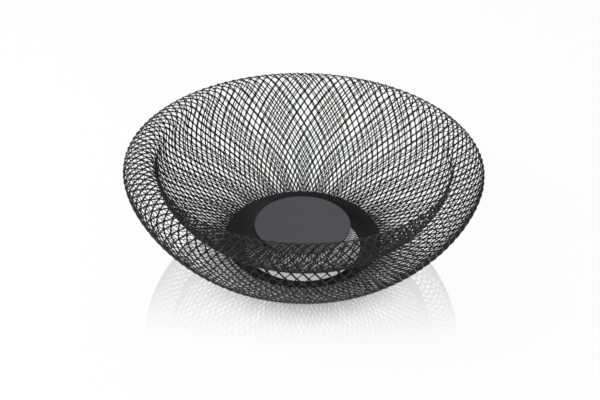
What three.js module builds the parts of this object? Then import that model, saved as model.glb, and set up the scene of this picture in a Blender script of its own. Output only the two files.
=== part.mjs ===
// Mesh fruit basket: one sleeve of diamond mesh is turned over at a fat rolled rim. Its outer wall comes
// down to a pressed base ring. Its inner wall hangs from the rim as the bowl and ends under a centre disc.
// Millimetres, +Z up. The origin is the centre of the base ring's underside, on the table.
import * as THREE from 'three';

// The sleeve's profile, measured on the face of the mesh that shows
const BULGE_RADIUS = 150;
const RIM_HEIGHT = 103;
const SHOULDER_WIDTH = 17;
const SHOULDER_HEIGHT = 10;
const LIP_WIDTH = 10.5;
const LIP_DROP = 9.5;

// Reach of the curves that run from the ring to the bulge and from the lip to the disc
const FOOT_REACH = 47;
const BULGE_REACH = 23.5;
const LIP_REACH = 36;
const HUB_REACH = 18;

// The mesh. The diamonds keep the real proportions at the bulge and are drawn larger than the real ones.
const DIAMOND_WIDTH = 23.6;
const DIAMOND_HEIGHT = 29;
const STRAND_WIDTH = 2.6;
const STRAND_DEPTH = 2;
const HEM_WIDTH = 1.6;

// The base ring: a sheet with a round hole. Its land stands on the table and its rim slopes up to a flange.
const RING_RADIUS = 70;
const RING_HEIGHT = 10.3;
const RING_FLANGE = 4;
const RING_SLOPE = 6;
const RING_LAND = 8;
const RING_THICKNESS = 1.5;
const RING_CHAMFER = 0.4;
const RING_LAP = 3.5;

// The centre disc. The sleeve is flat under it, from its lap to a border round the disc.
const DISC_RADIUS = 42.5;
const DISC_HEIGHT = 23.5;
const DISC_THICKNESS = 1.6;
const DISC_CHAMFER = 0.4;
const DISC_LAP = 6;
const DISC_BORDER = 4;

// The hems are welded to the ring and the disc, across this gap
const WELD_GAP = 0.3;
const ROUND_SEGMENTS = 72;

const blackPowderCoat = { color: 0x2b2b2c, roughness: 0.5, metalness: 0.2 };
const greyPowderCoat = { color: 0x4f4f50, roughness: 0.6, metalness: 0.2 };

/** The sleeve's profile in the plane of radius (x) and height (y), from the base ring to the disc. */
function sleeveProfile() {
  const bulgeHeight = RIM_HEIGHT - SHOULDER_HEIGHT;
  const crestRadius = BULGE_RADIUS - SHOULDER_WIDTH;
  const lipRadius = crestRadius - LIP_WIDTH;
  const lipHeight = RIM_HEIGHT - LIP_DROP;
  const footRadius = RING_RADIUS - RING_LAP;
  const footHeight = RING_HEIGHT + WELD_GAP;
  const hubRadius = DISC_RADIUS + DISC_BORDER;
  const hubHeight = DISC_HEIGHT - DISC_THICKNESS - WELD_GAP;

  const profile = new THREE.Path();
  profile.moveTo(footRadius, footHeight);
  profile.bezierCurveTo(
    footRadius + FOOT_REACH, footHeight,
    BULGE_RADIUS, bulgeHeight - BULGE_REACH,
    BULGE_RADIUS, bulgeHeight,
  );
  profile.absellipse(crestRadius, bulgeHeight, SHOULDER_WIDTH, SHOULDER_HEIGHT, 0, Math.PI / 2, false, 0);
  profile.absellipse(crestRadius, lipHeight, LIP_WIDTH, LIP_DROP, Math.PI / 2, Math.PI, false, 0);
  profile.bezierCurveTo(
    lipRadius, lipHeight - LIP_REACH,
    hubRadius + HUB_REACH, hubHeight,
    hubRadius, hubHeight,
  );
  profile.lineTo(DISC_RADIUS - DISC_LAP, hubHeight);
  return profile;
}

/** Places along the profile of the rows of bonds, where strands meet: half a diamond's height apart. */
function bondRows(profile) {
  const meshLength = profile.getLength() - 2 * HEM_WIDTH;
  const count = Math.round(2 * meshLength / DIAMOND_HEIGHT);
  return Array.from({ length: count + 1 }, (_, row) => HEM_WIDTH + row * meshLength / count);
}

/** One closed body: strands with a flat face on the side that shows and a ridge on the hidden side. */
function sleeveGeometry() {
  const profile = sleeveProfile();
  const length = profile.getLength();
  const columns = Math.round(2 * Math.PI * BULGE_RADIUS / DIAMOND_WIDTH);
  const rows = bondRows(profile);
  const last = rows.length - 1;
  const halfHeight = rows[1] - rows[0];
  const positions = [];
  const triangles = [];

  // A vertex on the sleeve, with its column counted in diamonds and its depth under the face that shows
  function vertex(column, along, depth) {
    const point = profile.getPointAt(along / length);
    const tangent = profile.getTangentAt(along / length);
    const radius = point.x - depth * tangent.y;
    const angle = 2 * Math.PI * column / columns;
    positions.push(radius * Math.cos(angle), radius * Math.sin(angle), point.y + depth * tangent.x);
    return positions.length / 3 - 1;
  }

  function quad(a, b, c, d) {
    triangles.push(a, b, c, a, c, d);
  }

  // Share of a diamond's width and height that stays open between strands of one width
  function openShare(row) {
    const halfWidth = Math.PI * profile.getPointAt(rows[row] / length).x / columns;
    return 1 - STRAND_WIDTH * Math.hypot(halfWidth, halfHeight) / (2 * halfWidth * halfHeight);
  }

  const at = (list, index) => list[(index + columns) % columns];
  const shift = (row) => (row % 2) / 2;
  const grid = (make) => rows.map((along, row) => Array.from({ length: columns }, (_, i) => make(row, i)));

  // The ridge under each bond, and the corners of the gap centred between two bonds of each row
  const ridge = grid((row, i) => vertex(i + shift(row), rows[row], STRAND_DEPTH));
  const gap = grid((row, i) => {
    const open = openShare(row);
    const middle = i + shift(row) + 0.5;
    const sides = Math.min(Math.max(rows[row], 2 * HEM_WIDTH), length - 2 * HEM_WIDTH);
    const left = vertex(middle - open / 2, sides, 0);
    const right = vertex(middle + open / 2, sides, 0);
    const down = row > 0 ? vertex(middle, rows[row] - open * halfHeight, 0) : null;
    const up = row < last ? vertex(middle, rows[row] + open * halfHeight, 0) : null;
    return { left, right, down, up };
  });

  for (let row = 0; row <= last; row += 1) {
    for (let i = 0; i < columns; i += 1) {
      const here = gap[row][i];
      const before = at(gap[row], i - 1);
      const bond = ridge[row][i];
      const nextBond = at(ridge[row], i + 1);
      // The bond above or below this gap stands half a column on from the bond at its left
      const across = i + (row % 2);

      if (row > 0) {
        const under = at(ridge[row - 1], across);
        quad(here.down, under, bond, here.left);
        quad(here.right, nextBond, under, here.down);
      }
      if (row < last) {
        const over = at(ridge[row + 1], across);
        quad(here.left, bond, over, here.up);
        quad(here.up, over, nextBond, here.right);
      }
      if (row > 0 && row < last) {
        const below = at(gap[row - 1], across - 1);
        const above = at(gap[row + 1], across - 1);
        quad(below.up, here.left, above.down, before.right);
      }
      if (row < last) {
        const leftAbove = at(gap[row + 1], across - 1);
        const rightAbove = at(gap[row + 1], across);
        quad(here.left, here.up, leftAbove.right, leftAbove.down);
        quad(here.up, here.right, rightAbove.down, rightAbove.left);
      }
    }
  }

  // The hems: a closed band along each end of the sleeve
  for (const [row, edge, side] of [[0, 0, 1], [last, length, -1]]) {
    const rim = Array.from({ length: columns }, (_, i) => vertex(i + shift(row), edge, 0));
    const band = (a, b, c, d) => (side > 0 ? quad(a, b, c, d) : quad(d, c, b, a));
    for (let i = 0; i < columns; i += 1) {
      const here = gap[row][i];
      const before = at(gap[row], i - 1);
      const bond = ridge[row][i];
      const nextBond = at(ridge[row], i + 1);
      const neighbour = at(gap[row + side], i + (row % 2) - 1);
      band(rim[i], at(rim, i + 1), here.right, here.left);
      band(rim[i], here.left, side > 0 ? neighbour.down : neighbour.up, before.right);
      band(here.left, here.right, nextBond, bond);
      band(bond, nextBond, at(rim, i + 1), rim[i]);
    }
  }

  const geometry = new THREE.BufferGeometry();
  geometry.setAttribute('position', new THREE.Float32BufferAttribute(positions, 3));
  geometry.setIndex(triangles);
  geometry.computeVertexNormals();
  return geometry;
}

/** The base ring's sheet: its underside from the hole to the flange, and its upper side back to the hole. */
function ringGeometry() {
  const flange = RING_RADIUS - RING_FLANGE;
  const land = flange - RING_SLOPE;
  const hole = land - RING_LAND;
  const rise = RING_HEIGHT - RING_THICKNESS;
  const slope = Math.atan2(rise, RING_SLOPE);
  // At a bend the upper side turns this much nearer the hole than the underside
  const bend = RING_THICKNESS * Math.tan(slope / 2);
  return latheGeometry([
    [hole + RING_CHAMFER, 0],
    [land, 0],
    [flange, rise],
    [RING_RADIUS - RING_CHAMFER, rise],
    [RING_RADIUS, rise + RING_CHAMFER],
    [RING_RADIUS, RING_HEIGHT - RING_CHAMFER],
    [RING_RADIUS - RING_CHAMFER, RING_HEIGHT],
    [flange - bend, RING_HEIGHT],
    [land - bend, RING_THICKNESS],
    [hole + RING_CHAMFER, RING_THICKNESS],
    [hole, RING_THICKNESS - RING_CHAMFER],
    [hole, RING_CHAMFER],
    [hole + RING_CHAMFER, 0],
  ]);
}

/** The centre disc, with chamfered edges. */
function discGeometry() {
  const bottom = DISC_HEIGHT - DISC_THICKNESS;
  return latheGeometry([
    [0, bottom],
    [DISC_RADIUS - DISC_CHAMFER, bottom],
    [DISC_RADIUS, bottom + DISC_CHAMFER],
    [DISC_RADIUS, DISC_HEIGHT - DISC_CHAMFER],
    [DISC_RADIUS - DISC_CHAMFER, DISC_HEIGHT],
    [0, DISC_HEIGHT],
  ]);
}

/** Turns an outline of radius and height about the basket's axis. The lathe's own axis is Y. */
function latheGeometry(outline) {
  const points = outline.map(([radius, height]) => new THREE.Vector2(radius, height));
  return new THREE.LatheGeometry(points, ROUND_SEGMENTS).rotateX(Math.PI / 2);
}

function addPiece(name, geometry, finish) {
  const mesh = new THREE.Mesh(geometry, new THREE.MeshStandardMaterial(finish));
  mesh.name = name;
  group.add(mesh);
}

const group = new THREE.Group();

addPiece('mesh_sleeve', sleeveGeometry(), blackPowderCoat);
addPiece('base_ring', ringGeometry(), blackPowderCoat);
addPiece('centre_disc', discGeometry(), greyPowderCoat);

export default group;
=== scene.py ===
"""Mesh fruit basket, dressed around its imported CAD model.

One sleeve of slit and expanded steel is turned over at a rolled rim. Its outer wall comes down to a pressed
base ring, and its inner wall hangs from the rim as the bowl and ends under a centre disc. Everything is in
metres, +Z up, with the origin at the centre of the base ring's underside, on the table.
"""

import logging
import math
from bisect import bisect_right
from dataclasses import dataclass, field
from enum import Enum
from itertools import accumulate

import bmesh
import bpy
from mathutils import Matrix, Vector


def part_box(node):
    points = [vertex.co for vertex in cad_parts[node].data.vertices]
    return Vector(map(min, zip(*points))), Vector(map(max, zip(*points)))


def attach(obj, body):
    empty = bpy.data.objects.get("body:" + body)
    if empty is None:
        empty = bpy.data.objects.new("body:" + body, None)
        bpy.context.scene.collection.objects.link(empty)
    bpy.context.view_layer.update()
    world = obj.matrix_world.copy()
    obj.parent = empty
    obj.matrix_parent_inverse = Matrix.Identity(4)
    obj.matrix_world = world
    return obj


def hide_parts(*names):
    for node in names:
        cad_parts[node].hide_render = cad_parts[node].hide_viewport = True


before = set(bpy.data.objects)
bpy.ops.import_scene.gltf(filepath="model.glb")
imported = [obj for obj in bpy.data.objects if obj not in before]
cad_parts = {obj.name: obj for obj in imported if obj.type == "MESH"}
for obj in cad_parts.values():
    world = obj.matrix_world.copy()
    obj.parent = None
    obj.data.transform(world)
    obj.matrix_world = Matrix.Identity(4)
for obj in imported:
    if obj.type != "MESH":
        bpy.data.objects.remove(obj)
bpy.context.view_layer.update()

log = logging.getLogger("mesh_fruit_basket")

MM = 0.001

# Width of the photograph, whose pixels the camera's numbers are given in
IMAGE_WIDTH_PX = 600

# The sleeve's hems are welded to the ring and the disc, across this gap
WELD_GAP = 0.3 * MM

# How far the outer wall's hem lies over the ring's flange
HEM_LAP = 3.5 * MM

# A strand's section has six sides: two are its faces, and the others meet in a ridge along each edge
SECTION_SIDES = 6

# Points of a turned piece that are nearer to each other than this are one point
MERGE_DISTANCE = 0.001 * MM

# Range that most values of a noise texture lie in
NOISE_LOW = 0.3
NOISE_HIGH = 0.7


def linear(hex_colour: str) -> tuple[float, float, float, float]:
    """Turn an sRGB colour into the linear one that shaders take.

    Args:
        hex_colour: Six hex digits after a hash sign.

    Returns:
        Linear red, green and blue, and an alpha of 1.
    """
    shares = [int(hex_colour[start:start + 2], 16) / 255 for start in (1, 3, 5)]
    red, green, blue = (
        share / 12.92 if share <= 0.04045 else ((share + 0.055) / 1.055) ** 2.4 for share in shares
    )
    return red, green, blue, 1.0


def add_node(
    tree: bpy.types.NodeTree,
    kind: str,
    inputs: dict[str | int, object] | None = None,
    **settings: object,
) -> bpy.types.Node:
    """Add a node with its settings and links.

    Args:
        tree: Node tree that gets the node.
        kind: Blender's name for the type of node.
        inputs: For a socket's name or number, a value or the output socket to link from.
        settings: Values of the node's own properties.

    Returns:
        The new node.
    """
    node = tree.nodes.new(kind)
    for name, value in settings.items():
        setattr(node, name, value)
    for socket, value in (inputs or {}).items():
        if isinstance(value, bpy.types.NodeSocket):
            tree.links.new(value, node.inputs[socket])
        else:
            node.inputs[socket].default_value = value
    return node


def add_object(name: str, data: bpy.types.ID | None) -> bpy.types.Object:
    """Make an object at the origin and link it to the scene.

    Args:
        name: Name of the object.
        data: Its mesh, lamp or camera.

    Returns:
        The new object.
    """
    made = bpy.data.objects.new(name, data)
    bpy.context.scene.collection.objects.link(made)
    return made


@dataclass(frozen=True)
class PowderCoat:
    """Polyester powder, sprayed on steel and baked.

    The powder melts into an even, slightly dimpled skin, so the eye sees soft, broken highlights on a deep
    colour, with a little more gloss where the skin flowed out well.
    """

    name: str
    colour: str
    pale_colour: str
    roughness: float
    roughness_spread: float
    dimple_size: float
    dimple_depth: float
    cloud_size: float
    specular_level: float
    dimple_strength: float = 0.5
    ior: float = 1.5

    def material(self) -> bpy.types.Material:
        """Build the coat's material.

        Returns:
            The material, with its dimples, gloss and clouds of colour on Object coordinates.
        """
        coat = bpy.data.materials.new(self.name)
        coat.use_nodes = True
        tree = coat.node_tree
        tree.nodes.clear()

        place = add_node(tree, "ShaderNodeTexCoord").outputs["Object"]
        clouds = add_node(
            tree, "ShaderNodeTexNoise", {"Vector": place, "Scale": 1 / self.cloud_size, "Detail": 3.0},
        )
        dimples = add_node(
            tree, "ShaderNodeTexNoise", {"Vector": place, "Scale": 1 / self.dimple_size, "Detail": 2.0},
        )
        colour = add_node(
            tree,
            "ShaderNodeMix",
            {0: clouds.outputs["Fac"], 6: linear(self.colour), 7: linear(self.pale_colour)},
            data_type="RGBA",
        )
        gloss = add_node(
            tree,
            "ShaderNodeMapRange",
            {
                "Value": dimples.outputs["Fac"],
                "From Min": NOISE_LOW,
                "From Max": NOISE_HIGH,
                "To Min": self.roughness - self.roughness_spread,
                "To Max": self.roughness + self.roughness_spread,
            },
        )
        bump = add_node(
            tree,
            "ShaderNodeBump",
            {
                "Height": dimples.outputs["Fac"],
                "Strength": self.dimple_strength,
                "Distance": self.dimple_depth,
            },
        )
        skin = add_node(
            tree,
            "ShaderNodeBsdfPrincipled",
            {
                "Base Color": colour.outputs[2],
                "Roughness": gloss.outputs["Result"],
                "Normal": bump.outputs["Normal"],
                "IOR": self.ior,
                "Specular IOR Level": self.specular_level,
            },
        )
        add_node(tree, "ShaderNodeOutputMaterial", {"Surface": skin.outputs["BSDF"]})
        return coat


# Satin black on the mesh and the ring: the strands are too thin to show dimples, which only break the gloss
SATIN_BLACK = PowderCoat(
    name="satin black powder coat on steel",
    colour="#121213",
    pale_colour="#18181a",
    roughness=0.45,
    roughness_spread=0.06,
    dimple_size=0.9 * MM,
    dimple_depth=0.03 * MM,
    cloud_size=14 * MM,
    specular_level=0.25,
)

# Matt dark grey on the disc: a fine, sandy skin with hardly any highlight
MATT_GREY = PowderCoat(
    name="matt dark grey powder coat on steel",
    colour="#4b4b4d",
    pale_colour="#525254",
    roughness=0.66,
    roughness_spread=0.05,
    dimple_size=0.7 * MM,
    dimple_depth=0.02 * MM,
    cloud_size=22 * MM,
    specular_level=0.25,
)


def cubic(start: Vector, leave: Vector, arrive: Vector, end: Vector, steps: int) -> list[Vector]:
    """Points on a cubic curve, without its start.

    Args:
        start: Where the curve begins.
        leave: Control point that it sets out towards.
        arrive: Control point that it comes in from.
        end: Where the curve ends.
        steps: Number of points.

    Returns:
        The points, of which the last is the end.
    """
    points = []
    for step in range(1, steps + 1):
        t = step / steps
        u = 1 - t
        points.append(u ** 3 * start + 3 * u * u * t * leave + 3 * u * t * t * arrive + t ** 3 * end)
    return points


def quarter_turn(centre: Vector, width: float, height: float, first: float, steps: int) -> list[Vector]:
    """Points on a quarter of an ellipse, without its start.

    Args:
        centre: Centre of the ellipse.
        width: Its half width.
        height: Its half height.
        first: Angle at its start, counted from the side away from the axis.
        steps: Number of points.

    Returns:
        The points, in the direction of growing angle.
    """
    angles = (first + math.pi / 2 * step / steps for step in range(1, steps + 1))
    return [centre + Vector((width * math.cos(angle), height * math.sin(angle))) for angle in angles]


@dataclass(frozen=True)
class SleeveProfile:
    """Line that the mesh follows from the base ring over the rim to the disc, on the face that shows.

    Its points hold a radius and a height. The sizes without a value come from the frame.
    """

    foot_radius: float
    foot_height: float
    bulge_radius: float
    rim_height: float
    disc_radius: float
    hub_height: float
    shoulder_width: float = 17 * MM
    shoulder_height: float = 10 * MM
    lip_width: float = 10.5 * MM
    lip_drop: float = 9.5 * MM
    foot_reach: float = 47 * MM
    bulge_reach: float = 23.5 * MM
    lip_reach: float = 36 * MM
    hub_reach: float = 18 * MM
    disc_lap: float = 6 * MM
    disc_border: float = 4 * MM

    def points(self, steps: int = 120) -> list[Vector]:
        """Walk the whole line.

        Args:
            steps: Number of points on each curve of the line.

        Returns:
            Points from the foot, over the crest of the rim, to the lap under the disc.
        """
        foot = Vector((self.foot_radius, self.foot_height))
        bulge = Vector((self.bulge_radius, self.rim_height - self.shoulder_height))
        crest_radius = self.bulge_radius - self.shoulder_width
        lip = Vector((crest_radius - self.lip_width, self.rim_height - self.lip_drop))
        hub = Vector((self.disc_radius + self.disc_border, self.hub_height))
        out = Vector((1, 0))
        up = Vector((0, 1))
        return [
            foot,
            *cubic(foot, foot + self.foot_reach * out, bulge - self.bulge_reach * up, bulge, steps),
            *quarter_turn(
                Vector((crest_radius, bulge.y)), self.shoulder_width, self.shoulder_height, 0, steps,
            ),
            *quarter_turn(Vector((crest_radius, lip.y)), self.lip_width, self.lip_drop, math.pi / 2, steps),
            *cubic(lip, lip - self.lip_reach * up, hub + self.hub_reach * out, hub, steps),
            hub - (self.disc_border + self.disc_lap) * out,
        ]


class Wall(Enum):
    """Half of the sleeve that one piece of mesh makes, up to the crest of the rim or down from it."""

    OUTER = "mesh_outer_wall"
    BOWL = "mesh_bowl_wall"


@dataclass
class MeshSleeve:
    """Sleeve of slit and expanded steel: zigzag strips side by side, bonded where their corners meet.

    The stretching leaves every strand and bond at a slant to the sleeve's face, the same way all round.
    """

    profile: SleeveProfile
    columns: int = 112
    outer_rows: int = 26
    bowl_rows: int = 28
    turn_shift: float = 0.9 * MM
    strand_width: float = 1.30 * MM
    strand_depth: float = 0.72 * MM
    bond_overlap: float = 0.14 * MM
    slant: float = math.radians(30)
    gathered_girth: float = 0.6
    bond_length: float = 1.7 * MM
    strand_step: float = field(init=False)
    points: list[Vector] = field(init=False)
    distances: list[float] = field(init=False)

    def __post_init__(self) -> None:
        """Measure the profile, and how far apart the two strips of a bond lie."""
        self.strand_step = self.strand_width - self.bond_overlap
        self.points = self.profile.points()
        steps = ((b - a).length for a, b in zip(self.points, self.points[1:]))
        self.distances = list(accumulate(steps, initial=0.0))

    def locate(self, distance: float) -> tuple[Vector, Vector]:
        """Find a place on the profile.

        Args:
            distance: Distance along the profile from the foot.

        Returns:
            The point there, and the unit vector that faces the side that shows.
        """
        index = min(bisect_right(self.distances, distance), len(self.points) - 1)
        start, end = self.points[index - 1], self.points[index]
        along = end - start
        share = (distance - self.distances[index - 1]) / along.length
        return start + share * along, Vector((along.y, -along.x)).normalized()

    def bond_rows(self) -> list[float]:
        """Place the rows of bonds. The bowl's diamonds are pulled less high than the outer wall's.

        Returns:
            Distance of each row along the profile.
        """
        crest = max(self.points, key=lambda point: point.y)
        turn = self.distances[self.points.index(crest)] - self.turn_shift
        outer = [turn * row / self.outer_rows for row in range(self.outer_rows)]
        bowl_length = self.distances[-1] - turn
        return outer + [turn + bowl_length * row / self.bowl_rows for row in range(self.bowl_rows + 1)]

    def strip(self, wall: Wall) -> bpy.types.Object:
        """Draw one strip of a wall as a line in the plane of X and Z, before it zigzags.

        Args:
            wall: Half of the sleeve.

        Returns:
            An object of edges. Each point knows the number of its row, which way the wall faces there, and
            the share of the strands' full section, which shrinks where the mesh is gathered.
        """
        # How deep a slanting bond of two strands lies
        bond_width = self.strand_step + self.strand_width
        depth = bond_width * math.sin(self.slant) + self.strand_depth * math.cos(self.slant)
        rows = self.bond_rows()
        first, last = (0, self.outer_rows) if wall is Wall.OUTER else (self.outer_rows, len(rows) - 1)

        # A bond's two ends are the corners of the strip, and the strip's own ends are the middles of bonds
        half_bond = self.bond_length / 2
        corners = [(row, rows[row] + side * half_bond) for row in range(first, last + 1) for side in (-1, 1)]
        corners[0] = (first, rows[first])
        corners[-1] = (last, rows[last])

        middles = []
        facings = []
        girths = []
        for _, distance in corners:
            point, facing = self.locate(distance)
            spread = point.x / self.profile.bulge_radius
            girth = self.gathered_girth + (1 - self.gathered_girth) * spread
            middle = point - facing * girth * depth / 2
            middles.append((middle.x, 0.0, middle.y))
            facings.extend((facing.x, 0.0, facing.y))
            girths.append(girth)

        line = bpy.data.meshes.new(f"{wall.value}_strip")
        line.from_pydata(middles, [(i, i + 1) for i in range(len(middles) - 1)], [])
        line.attributes.new("row", "INT", "POINT").data.foreach_set("value", [row for row, _ in corners])
        line.attributes.new("facing", "FLOAT_VECTOR", "POINT").data.foreach_set("vector", facings)
        line.attributes.new("girth", "FLOAT", "POINT").data.foreach_set("value", girths)
        return add_object(line.name, line)

    @staticmethod
    def expanded_mesh_tree() -> bpy.types.NodeTree:
        """Build the tree that turns one strip's line into a wall of expanded mesh.

        Returns:
            A tree with inputs for the number of columns, the strands' section, step and slant, and the coat.
        """
        tree = bpy.data.node_groups.new("expanded mesh", "GeometryNodeTree")
        for name, kind in (
            ("Strip", "NodeSocketGeometry"),
            ("Columns", "NodeSocketInt"),
            ("Strand Width", "NodeSocketFloat"),
            ("Strand Depth", "NodeSocketFloat"),
            ("Strand Step", "NodeSocketFloat"),
            ("Slant", "NodeSocketFloat"),
            ("Coat", "NodeSocketMaterial"),
        ):
            tree.interface.new_socket(name, in_out="INPUT", socket_type=kind)
        tree.interface.new_socket("Wall", in_out="OUTPUT", socket_type="NodeSocketGeometry")
        given = add_node(tree, "NodeGroupInput").outputs

        # Two strips for each column, of which the second is the mirror image of the first
        curve = add_node(tree, "GeometryNodeMeshToCurve", {"Mesh": given["Strip"]})
        amount = add_node(tree, "ShaderNodeMath", {0: given["Columns"], 1: 2.0}, operation="MULTIPLY")
        strips = add_node(
            tree,
            "GeometryNodeDuplicateElements",
            {"Geometry": curve.outputs["Curve"], "Amount": amount.outputs[0]},
            domain="SPLINE",
        )
        number = strips.outputs["Duplicate Index"]
        mirrored = add_node(tree, "ShaderNodeMath", {0: number, 1: 2.0}, operation="MODULO")
        side = add_node(
            tree, "ShaderNodeMath", {0: mirrored.outputs[0], 1: -2.0, 2: 1.0}, operation="MULTIPLY_ADD",
        )
        half = add_node(tree, "ShaderNodeMath", {0: number, 1: 2.0}, operation="DIVIDE")
        column = add_node(tree, "ShaderNodeMath", {0: half.outputs[0]}, operation="FLOOR")
        pitch = add_node(tree, "ShaderNodeMath", {0: math.tau, 1: given["Columns"]}, operation="DIVIDE")

        # Even rows stand half a step beside the column's line. Odd rows stand half a step short of the line
        # midway to the next column.
        row = add_node(tree, "GeometryNodeInputNamedAttribute", {"Name": "row"}, data_type="INT")
        odd = add_node(tree, "ShaderNodeMath", {0: row.outputs["Attribute"], 1: 2.0}, operation="MODULO")
        position = add_node(tree, "GeometryNodeInputPosition").outputs["Position"]
        radius = add_node(tree, "ShaderNodeSeparateXYZ", {0: position}).outputs["X"]
        girth = add_node(
            tree, "GeometryNodeInputNamedAttribute", {"Name": "girth"}, data_type="FLOAT",
        ).outputs["Attribute"]
        step = add_node(tree, "ShaderNodeMath", {0: given["Strand Step"], 1: girth}, operation="MULTIPLY")
        level = add_node(tree, "ShaderNodeMath", {0: given["Slant"]}, operation="COSINE").outputs[0]
        steep = add_node(tree, "ShaderNodeMath", {0: given["Slant"]}, operation="SINE").outputs[0]
        across = add_node(tree, "ShaderNodeMath", {0: step.outputs[0], 1: level}, operation="MULTIPLY")
        strand = add_node(tree, "ShaderNodeMath", {0: across.outputs[0], 1: radius}, operation="DIVIDE")
        half_strand = add_node(tree, "ShaderNodeMath", {0: strand.outputs[0], 1: 0.5}, operation="MULTIPLY")
        swing = add_node(
            tree,
            "ShaderNodeMath",
            {
                0: add_node(
                    tree, "ShaderNodeMath", {0: pitch.outputs[0], 1: 0.5}, operation="MULTIPLY",
                ).outputs[0],
                1: strand.outputs[0],
            },
            operation="SUBTRACT",
        )
        beside = add_node(
            tree,
            "ShaderNodeMath",
            {0: odd.outputs[0], 1: swing.outputs[0], 2: half_strand.outputs[0]},
            operation="MULTIPLY_ADD",
        )
        offset = add_node(
            tree, "ShaderNodeMath", {0: beside.outputs[0], 1: side.outputs[0]}, operation="MULTIPLY",
        )
        angle = add_node(
            tree,
            "ShaderNodeMath",
            {0: column.outputs[0], 1: pitch.outputs[0], 2: offset.outputs[0]},
            operation="MULTIPLY_ADD",
        ).outputs[0]
        facing = add_node(
            tree, "GeometryNodeInputNamedAttribute", {"Name": "facing"}, data_type="FLOAT_VECTOR",
        )

        # The two strips of a bond lie on one slope, half a step above and below its middle
        uphill = add_node(
            tree, "ShaderNodeMath", {0: odd.outputs[0], 1: 2.0, 2: -1.0}, operation="MULTIPLY_ADD",
        )
        way = add_node(
            tree, "ShaderNodeMath", {0: uphill.outputs[0], 1: side.outputs[0]}, operation="MULTIPLY",
        )
        climb = add_node(tree, "ShaderNodeMath", {0: step.outputs[0], 1: steep}, operation="MULTIPLY")
        half_climb = add_node(tree, "ShaderNodeMath", {0: climb.outputs[0], 1: 0.5}, operation="MULTIPLY")
        rise = add_node(
            tree, "ShaderNodeMath", {0: half_climb.outputs[0], 1: way.outputs[0]}, operation="MULTIPLY",
        )
        raised = add_node(
            tree,
            "ShaderNodeVectorMath",
            {0: facing.outputs["Attribute"], 1: rise.outputs[0], 2: position},
            operation="MULTIPLY_ADD",
        )
        sideways = add_node(tree, "ShaderNodeCombineXYZ", {"Y": steep})
        slanted = add_node(
            tree,
            "ShaderNodeVectorMath",
            {0: facing.outputs["Attribute"], 1: level, 2: sideways.outputs["Vector"]},
            operation="MULTIPLY_ADD",
        )
        placed, faced = (
            add_node(
                tree,
                "ShaderNodeVectorRotate",
                {"Vector": vector, "Axis": (0.0, 0.0, 1.0), "Angle": angle},
                rotation_type="AXIS_ANGLE",
            ).outputs["Vector"]
            for vector in (raised.outputs["Vector"], slanted.outputs["Vector"])
        )

        # The slope is kept before the points move, because the angle is worked out from their radius
        kept = add_node(
            tree,
            "GeometryNodeStoreNamedAttribute",
            {"Geometry": strips.outputs["Geometry"], "Name": "slope", "Value": faced},
            data_type="FLOAT_VECTOR",
            domain="POINT",
        )
        zigzags = add_node(
            tree, "GeometryNodeSetPosition", {"Geometry": kept.outputs["Geometry"], "Position": placed},
        )
        slope = add_node(
            tree, "GeometryNodeInputNamedAttribute", {"Name": "slope"}, data_type="FLOAT_VECTOR",
        )
        upright = add_node(
            tree,
            "GeometryNodeSetCurveNormal",
            {"Curve": zigzags.outputs["Geometry"], "Normal": slope.outputs["Attribute"]},
            mode="FREE",
        )
        # A circle one unit across, stretched to the strand's width and depth
        section = add_node(
            tree, "GeometryNodeCurvePrimitiveCircle", {"Resolution": SECTION_SIDES, "Radius": 0.5},
        )
        flattened = add_node(
            tree,
            "GeometryNodeTransform",
            {
                "Geometry": section.outputs["Curve"],
                "Rotation": (0.0, 0.0, math.pi / 2),
                "Scale": add_node(
                    tree,
                    "ShaderNodeCombineXYZ",
                    {"X": given["Strand Width"], "Y": given["Strand Depth"], "Z": 1.0},
                ).outputs["Vector"],
            },
        )
        strands = add_node(
            tree,
            "GeometryNodeCurveToMesh",
            {
                "Curve": upright.outputs["Curve"],
                "Profile Curve": flattened.outputs["Geometry"],
                "Scale": girth,
                "Fill Caps": True,
            },
        )
        smooth = add_node(tree, "GeometryNodeSetShadeSmooth", {"Geometry": strands.outputs["Mesh"]})
        real = add_node(tree, "GeometryNodeRealizeInstances", {"Geometry": smooth.outputs["Geometry"]})
        coated = add_node(
            tree,
            "GeometryNodeSetMaterial",
            {"Geometry": real.outputs["Geometry"], "Material": given["Coat"]},
        )
        add_node(tree, "NodeGroupOutput", {"Wall": coated.outputs["Geometry"]})
        return tree

    def build(self, wall: Wall, tree: bpy.types.NodeTree, coat: bpy.types.Material) -> bpy.types.Object:
        """Make one wall as a plain mesh.

        Args:
            wall: Half of the sleeve.
            tree: Tree from expanded_mesh_tree.
            coat: Finish of the strands.

        Returns:
            The finished piece.
        """
        strip = self.strip(wall)
        modifier = strip.modifiers.new("expanded mesh", "NODES")
        modifier.node_group = tree
        sizes = {
            "Columns": self.columns,
            "Strand Width": self.strand_width,
            "Strand Depth": self.strand_depth,
            "Strand Step": self.strand_step,
            "Slant": self.slant,
            "Coat": coat,
        }
        for socket in tree.interface.items_tree:
            if socket.name in sizes:
                modifier[socket.identifier] = sizes[socket.name]
        evaluated = strip.evaluated_get(bpy.context.evaluated_depsgraph_get())
        mesh = bpy.data.meshes.new_from_object(evaluated)
        mesh.name = wall.value
        bpy.data.objects.remove(strip)
        return add_object(wall.value, mesh)


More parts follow.
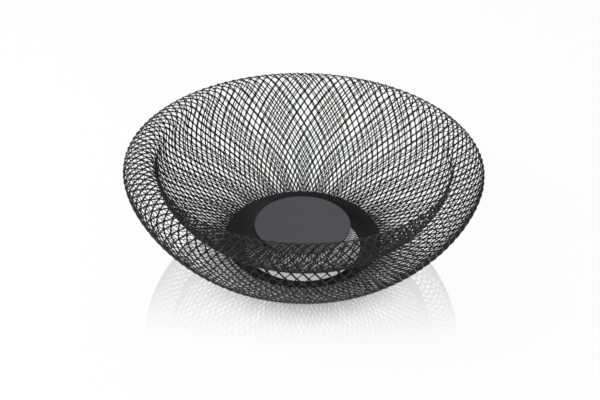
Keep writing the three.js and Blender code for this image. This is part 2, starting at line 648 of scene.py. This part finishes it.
def rounded(corners: list[tuple[float, float, float]], steps: int = 5) -> list[Vector]:
    """Round the corners of an outline.

    Each arc has a point a little before it and a little after it, which keep the shading of flat faces flat.

    Args:
        corners: Radius and height of each corner, and the radius that it is rounded with.
        steps: Number of steps on each arc.

    Returns:
        Points of radius and height, in the order of the corners.
    """
    hold = 0.15 * MM
    places = [Vector((radius, height)) for radius, height, _ in corners]
    points = []
    for index, (_, _, bend) in enumerate(corners):
        corner = places[index]
        if bend == 0:
            points.append(corner)
            continue
        back = (places[index - 1] - corner).normalized()
        ahead = (places[(index + 1) % len(places)] - corner).normalized()
        half_angle = back.angle(ahead) / 2
        reach = bend / math.tan(half_angle)
        middle = (back + ahead).normalized()
        centre = corner + middle * bend / math.sin(half_angle)
        first = corner + back * reach - centre
        last = corner + ahead * reach - centre
        points.append(corner + back * (reach + hold))
        for step in range(steps + 1):
            spoke = first.lerp(last, step / steps)
            points.append(centre + spoke.normalized() * bend)
        points.append(corner + ahead * (reach + hold))
    return points


def turned(
    name: str, outline: list[Vector], is_ring: bool, coat: bpy.types.Material, segments: int = 192,
) -> bpy.types.Object:
    """Turn an outline about the basket's axis.

    Args:
        name: Name of the piece.
        outline: Points of radius and height round the section.
        is_ring: True for a closed outline, false for one that starts and ends on the axis.
        coat: Finish of the piece.
        segments: Number of segments round the axis.

    Returns:
        The finished piece.
    """
    shape = bmesh.new()
    points = [shape.verts.new((point.x, 0.0, point.y)) for point in outline]
    pairs = list(zip(points, points[1:]))
    if is_ring:
        pairs.append((points[-1], points[0]))
    edges = [shape.edges.new(pair) for pair in pairs]
    bmesh.ops.spin(
        shape,
        geom=[*points, *edges],
        cent=(0.0, 0.0, 0.0),
        axis=(0.0, 0.0, 1.0),
        angle=math.tau,
        steps=segments,
        use_merge=True,
    )
    bmesh.ops.remove_doubles(shape, verts=shape.verts, dist=MERGE_DISTANCE)
    bmesh.ops.recalc_face_normals(shape, faces=shape.faces)
    mesh = bpy.data.meshes.new(name)
    shape.to_mesh(mesh)
    shape.free()
    mesh.materials.append(coat)
    mesh.shade_smooth()
    return add_object(name, mesh)


@dataclass
class BaseRing:
    """Ring pressed from sheet.

    A land lies on the table round the hole, and a sloping rim leads up to a flange under the sleeve's hem.
    """

    radius: float
    height: float
    flange: float = 4 * MM
    slope: float = 6 * MM
    land: float = 8 * MM
    thickness: float = 1.5 * MM
    edge_radius: float = 0.5 * MM
    bend_radius: float = 1.4 * MM

    def build(self, coat: bpy.types.Material) -> bpy.types.Object:
        """Make the ring.

        Args:
            coat: Its finish.

        Returns:
            The finished piece.
        """
        flange = self.radius - self.flange
        land = flange - self.slope
        hole = land - self.land
        rise = self.height - self.thickness
        # At a bend the upper side turns this much nearer the hole than the underside
        shift = self.thickness * math.tan(math.atan2(rise, self.slope) / 2)
        outer_bend = self.bend_radius + self.thickness
        outline = rounded([
            (hole, 0.0, self.edge_radius),
            (land, 0.0, outer_bend),
            (flange, rise, self.bend_radius),
            (self.radius, rise, self.edge_radius),
            (self.radius, self.height, self.edge_radius),
            (flange - shift, self.height, outer_bend),
            (land - shift, self.thickness, self.bend_radius),
            (hole, self.thickness, self.edge_radius),
        ])
        return turned("ring_sheet", outline, True, coat)


@dataclass
class CentreDisc:
    """Flat disc with rounded edges, over the gathered end of the bowl."""

    radius: float
    bottom: float
    top: float
    edge_radius: float = 0.5 * MM

    def build(self, coat: bpy.types.Material) -> bpy.types.Object:
        """Make the disc.

        Args:
            coat: Its finish.

        Returns:
            The finished piece.
        """
        outline = rounded([
            (0.0, self.bottom, 0.0),
            (self.radius, self.bottom, self.edge_radius),
            (self.radius, self.top, self.edge_radius),
            (0.0, self.top, 0.0),
        ])
        return turned("disc_plate", outline, False, coat)


def reaches_eye(tree: bpy.types.NodeTree) -> bpy.types.NodeSocket:
    """Tell the rays that show a surface from those that only carry its light.

    Args:
        tree: Tree of a material or a world.

    Returns:
        A socket that is 1 for rays from the camera, also by way of a mirror or through something clear.
    """
    ray = add_node(tree, "ShaderNodeLightPath").outputs
    seen = add_node(
        tree, "ShaderNodeMath", {0: ray["Is Camera Ray"], 1: ray["Is Glossy Ray"]}, operation="MAXIMUM",
    )
    shown = add_node(
        tree, "ShaderNodeMath", {0: seen.outputs[0], 1: ray["Is Transmission Ray"]}, operation="MAXIMUM",
    )
    return shown.outputs[0]


@dataclass(frozen=True)
class Fade:
    """Value that changes smoothly between two distances from the basket's axis."""

    near: float
    far: float
    near_value: float
    far_value: float

    def sockets(self, distance: bpy.types.NodeSocket) -> dict[str, object]:
        """Give the inputs of a Map Range node.

        Args:
            distance: Socket of the distance.

        Returns:
            A value or a socket for each input's name.
        """
        return {
            "Value": distance,
            "From Min": self.near,
            "From Max": self.far,
            "To Min": self.near_value,
            "To Max": self.far_value,
        }


@dataclass
class Studio:
    """White table, soft light and the camera of the photograph."""

    camera_elevation: float = math.radians(35.08)
    camera_distance: float = 700 * MM
    camera_roll: float = math.radians(0.855)
    aim: tuple[float, float, float] = (-2.75 * MM, 0.0, 48.84 * MM)
    focal_length_px: float = 805.0
    sensor_width_mm: float = 36.0
    floor_radius: float = 4.0
    floor_drop: float = 0.1 * MM
    floor_sides: int = 96
    # Painted light in the ring's hole, then painted shade round the foot where the glow dips, rising to the
    # even white of the open table
    painted_hole_glow: Fade = Fade(50 * MM, 60 * MM, 0.53, 0.0)
    foot_shade_and_open_glow: Fade = Fade(65 * MM, 113 * MM, 0.12, 0.93)
    polish: Fade = Fade(50 * MM, 140 * MM, 0.3, 0.0)
    polish_squeeze: float = 0.45
    polish_roughness: float = 0.03
    soft_box_width: float = 1.4
    soft_box_height: float = 1.0
    soft_box_watts: float = 18.0
    soft_box_place: tuple[float, float, float] = (-1.1, -0.3, 1.1)
    backdrop_light: float = 0.5

    def add_camera(self) -> None:
        """Put the camera where the photograph was taken from, in front of the basket and above it."""
        lens = bpy.data.cameras.new("camera")
        lens.sensor_width = self.sensor_width_mm
        lens.lens = lens.sensor_width * self.focal_length_px / IMAGE_WIDTH_PX
        camera = add_object("camera", lens)
        tilt = Matrix.Rotation(math.pi / 2 - self.camera_elevation, 4, "X")
        back = Matrix.Translation((0.0, 0.0, self.camera_distance))
        roll = Matrix.Rotation(self.camera_roll, 4, "Z")
        camera.matrix_world = Matrix.Translation(self.aim) @ tilt @ back @ roll
        bpy.context.scene.camera = camera

    def add_floor(self) -> None:
        """Lay a polished white table top, which mirrors the foot of the basket and keeps its shadow."""
        angles = [math.tau * side / self.floor_sides for side in range(self.floor_sides)]
        rim = [
            (self.floor_radius * math.cos(angle), self.floor_radius * math.sin(angle), -self.floor_drop)
            for angle in angles
        ]
        mesh = bpy.data.meshes.new("table")
        mesh.from_pydata(rim, [], [tuple(range(self.floor_sides))])
        mesh.materials.append(self.table_top())
        add_object("table", mesh)

    def table_top(self) -> bpy.types.Material:
        """Build white acrylic, moulded and polished.

        Its glow makes it as white as the backdrop in the open, paints light in the ring's hole and paints
        shade round the foot. Its polish fades away from the basket.

        Returns:
            The material of the table.
        """
        acrylic = bpy.data.materials.new("polished white acrylic")
        acrylic.use_nodes = True
        tree = acrylic.node_tree
        tree.nodes.clear()
        place = add_node(tree, "ShaderNodeTexCoord").outputs["Object"]
        away = add_node(tree, "ShaderNodeVectorMath", {0: place}, operation="LENGTH")
        # Painted light and shade: the table glows in the ring's hole and in the open, and the glow dips
        # round the foot, which paints shade there over the foot's real shadow
        painted_hole_light, foot_shade_and_open_light = (
            add_node(
                tree,
                "ShaderNodeMapRange",
                fade.sockets(away.outputs["Value"]),
                interpolation_type="SMOOTHSTEP",
            ).outputs["Result"]
            for fade in (self.painted_hole_glow, self.foot_shade_and_open_glow)
        )
        bright = add_node(tree, "ShaderNodeMath", {0: painted_hole_light, 1: foot_shade_and_open_light}, operation="MAXIMUM")
        glow_share = add_node(
            tree, "ShaderNodeMath", {0: reaches_eye(tree), 1: bright.outputs[0]}, operation="MULTIPLY",
        )
        white = add_node(tree, "ShaderNodeBsdfDiffuse", {"Color": linear("#fafafa")})
        glow = add_node(tree, "ShaderNodeEmission", {"Color": linear("#ffffff"), "Strength": 1.0})
        body = add_node(
            tree,
            "ShaderNodeMixShader",
            {0: glow_share.outputs[0], 1: white.outputs[0], 2: glow.outputs[0]},
        )
        # The polish reaches further to the sides than to the front
        squeezed = add_node(
            tree, "ShaderNodeMapping", {"Vector": place, "Scale": (self.polish_squeeze, 1.0, 1.0)},
        )
        spread = add_node(
            tree, "ShaderNodeVectorMath", {0: squeezed.outputs["Vector"]}, operation="LENGTH",
        )
        polish = add_node(
            tree,
            "ShaderNodeMapRange",
            self.polish.sockets(spread.outputs["Value"]),
            interpolation_type="SMOOTHSTEP",
        )
        mirror = add_node(
            tree,
            "ShaderNodeBsdfAnisotropic",
            {"Color": linear("#ffffff"), "Roughness": self.polish_roughness},
        )
        top = add_node(
            tree,
            "ShaderNodeMixShader",
            {0: polish.outputs["Result"], 1: body.outputs[0], 2: mirror.outputs[0]},
        )
        add_node(tree, "ShaderNodeOutputMaterial", {"Surface": top.outputs[0]})
        return acrylic

    def add_lamps(self) -> None:
        """Hang one large soft box up to the left of the basket."""
        lamp = bpy.data.lights.new("soft_box", "AREA")
        lamp.shape = "RECTANGLE"
        lamp.size = self.soft_box_width
        lamp.size_y = self.soft_box_height
        lamp.energy = self.soft_box_watts
        box = add_object("soft_box", lamp)
        box.location = self.soft_box_place
        box.rotation_euler = (-box.location).to_track_quat("-Z", "Y").to_euler()

    def add_world(self) -> None:
        """Surround the basket with white, which lights it more softly than it looks."""
        world = bpy.data.worlds.new("white studio")
        world.use_nodes = True
        tree = world.node_tree
        tree.nodes.clear()
        strength = add_node(
            tree,
            "ShaderNodeMapRange",
            {"Value": reaches_eye(tree), "To Min": self.backdrop_light, "To Max": 1.0},
        )
        white = add_node(
            tree,
            "ShaderNodeBackground",
            {"Color": linear("#ffffff"), "Strength": strength.outputs["Result"]},
        )
        add_node(tree, "ShaderNodeOutputWorld", {"Surface": white.outputs[0]})
        bpy.context.scene.world = world


def main() -> None:
    """Build the studio and the basket's pieces, in the order that they are put together."""
    logging.basicConfig(level=logging.INFO, format="%(name)s: %(message)s")
    bpy.context.scene.view_settings.view_transform = "Standard"
    studio = Studio()
    studio.add_camera()
    studio.add_floor()
    studio.add_lamps()
    studio.add_world()

    black = SATIN_BLACK.material()
    grey = MATT_GREY.material()

    ring_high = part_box("base_ring")[1]
    disc_low, disc_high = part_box("centre_disc")
    sleeve_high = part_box("mesh_sleeve")[1]

    sleeve = MeshSleeve(
        SleeveProfile(
            foot_radius=ring_high.x - HEM_LAP,
            foot_height=ring_high.z + WELD_GAP,
            bulge_radius=sleeve_high.x,
            rim_height=sleeve_high.z,
            disc_radius=disc_high.x,
            hub_height=disc_low.z - WELD_GAP,
        )
    )
    tree = sleeve.expanded_mesh_tree()
    for wall in Wall:
        piece = sleeve.build(wall, tree, black)
        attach(piece, "root")
        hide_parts("mesh_sleeve")
        log.info("%s: %d faces", piece.name, len(piece.data.polygons))

    ring = BaseRing(ring_high.x, ring_high.z).build(black)
    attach(ring, "root")
    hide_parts("base_ring")
    log.info("%s: %d faces", ring.name, len(ring.data.polygons))

    disc = CentreDisc(disc_high.x, disc_low.z, disc_high.z).build(grey)
    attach(disc, "root")
    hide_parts("centre_disc")
    log.info("%s: %d faces", disc.name, len(disc.data.polygons))


if __name__ == "__main__":
    main()
